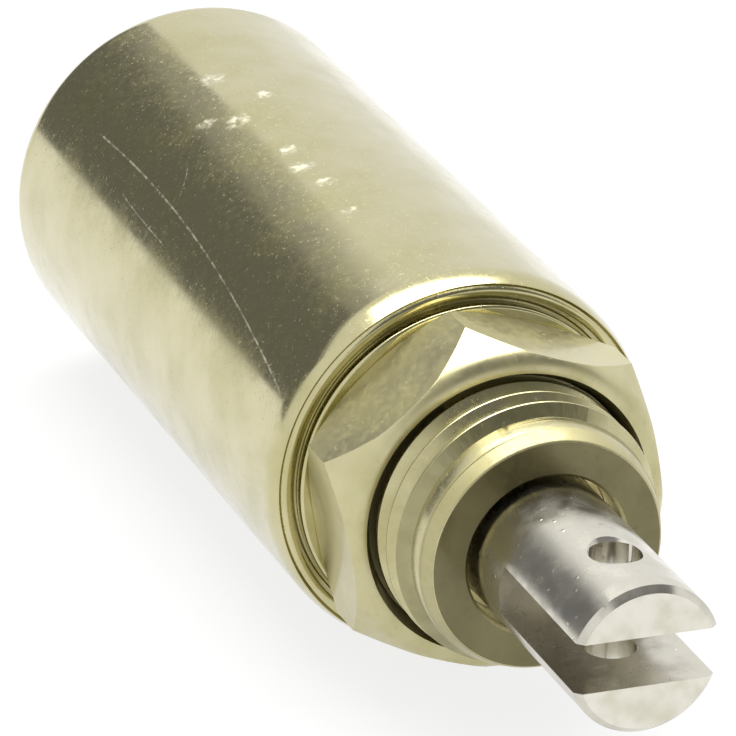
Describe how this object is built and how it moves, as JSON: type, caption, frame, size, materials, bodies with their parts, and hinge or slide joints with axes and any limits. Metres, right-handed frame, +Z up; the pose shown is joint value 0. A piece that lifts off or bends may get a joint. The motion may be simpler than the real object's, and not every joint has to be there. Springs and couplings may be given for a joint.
{
  "type": "push pull solenoid",
  "caption": "Tubular push-pull solenoid: plated steel can with a threaded mounting neck and hex nut, a slotted clevis plunger in front and a push rod behind.",
  "frame": {"origin": "on the axis, at the centre of the plane of the case's front lip, where the mounting neck stands out", "axes": "+X along the axis, from the case towards the clevis; +Z up, along the clevis hole; +Y to the left when seen from behind the case"},
  "size_m": [0.0974, 0.0254, 0.0254],
  "materials": {
    "zinc_plate": "olive-gold zinc plate over drawn and turned steel, fairly bright",
    "nickel_plate": "bright nickel plate over turned steel, lightly worn",
    "bare_steel": "turned, oiled",
    "stainless_rod": "ground",
    "spring_steel": "dark, oiled",
    "brass": "drawn tube",
    "bronze": "sintered",
    "copper_wire": "enamelled",
    "nylon": "natural",
    "tape": "polyester tape",
    "fibre": "vulcanised fibre",
    "rubber": "moulded"
  },
  "bodies": {
    "housing": {"case": "zinc_plate", "end_piece": "zinc_plate", "guide_tube": "brass", "bobbin": "nylon", "coil": "copper_wire", "coil_wrap": "tape", "front_insulator": "fibre", "rear_insulator": "fibre", "spring_washer": "spring_steel", "flux_plate": "bare_steel", "pole_piece": "bare_steel", "rod_bush": "bronze", "grommet_left": "rubber", "grommet_right": "rubber"},
    "washer": {"mounting_washer": "zinc_plate"},
    "nut": {"mounting_nut": "zinc_plate"},
    "carrier": {"shim": "nylon"},
    "armature": {"plunger": "nickel_plate", "push_rod": "stainless_rod", "retaining_ring": "spring_steel"}
  },
  "joints": [
    {"name": "plunger_slide", "type": "slide", "parent": "housing", "child": "carrier", "axis": [1, 0, 0], "range_m": [0, 0.0127]},
    {"name": "plunger_spin", "type": "hinge", "parent": "carrier", "child": "armature", "pos_m": [0, 0, 0], "axis": [1, 0, 0], "continuous": true},
    {"name": "nut_travel", "type": "slide", "parent": "housing", "child": "washer", "axis": [1, 0, 0], "range_m": [0, 0.00477]},
    {"name": "nut_spin", "type": "hinge", "parent": "washer", "child": "nut", "pos_m": [0, 0, 0], "axis": [1, 0, 0], "range_deg": [0, 1080]}
  ],
  "couplings": [
    {"joint": "nut_travel", "follows": "nut_spin", "m_per_rad": 0.00025266}
  ]
}
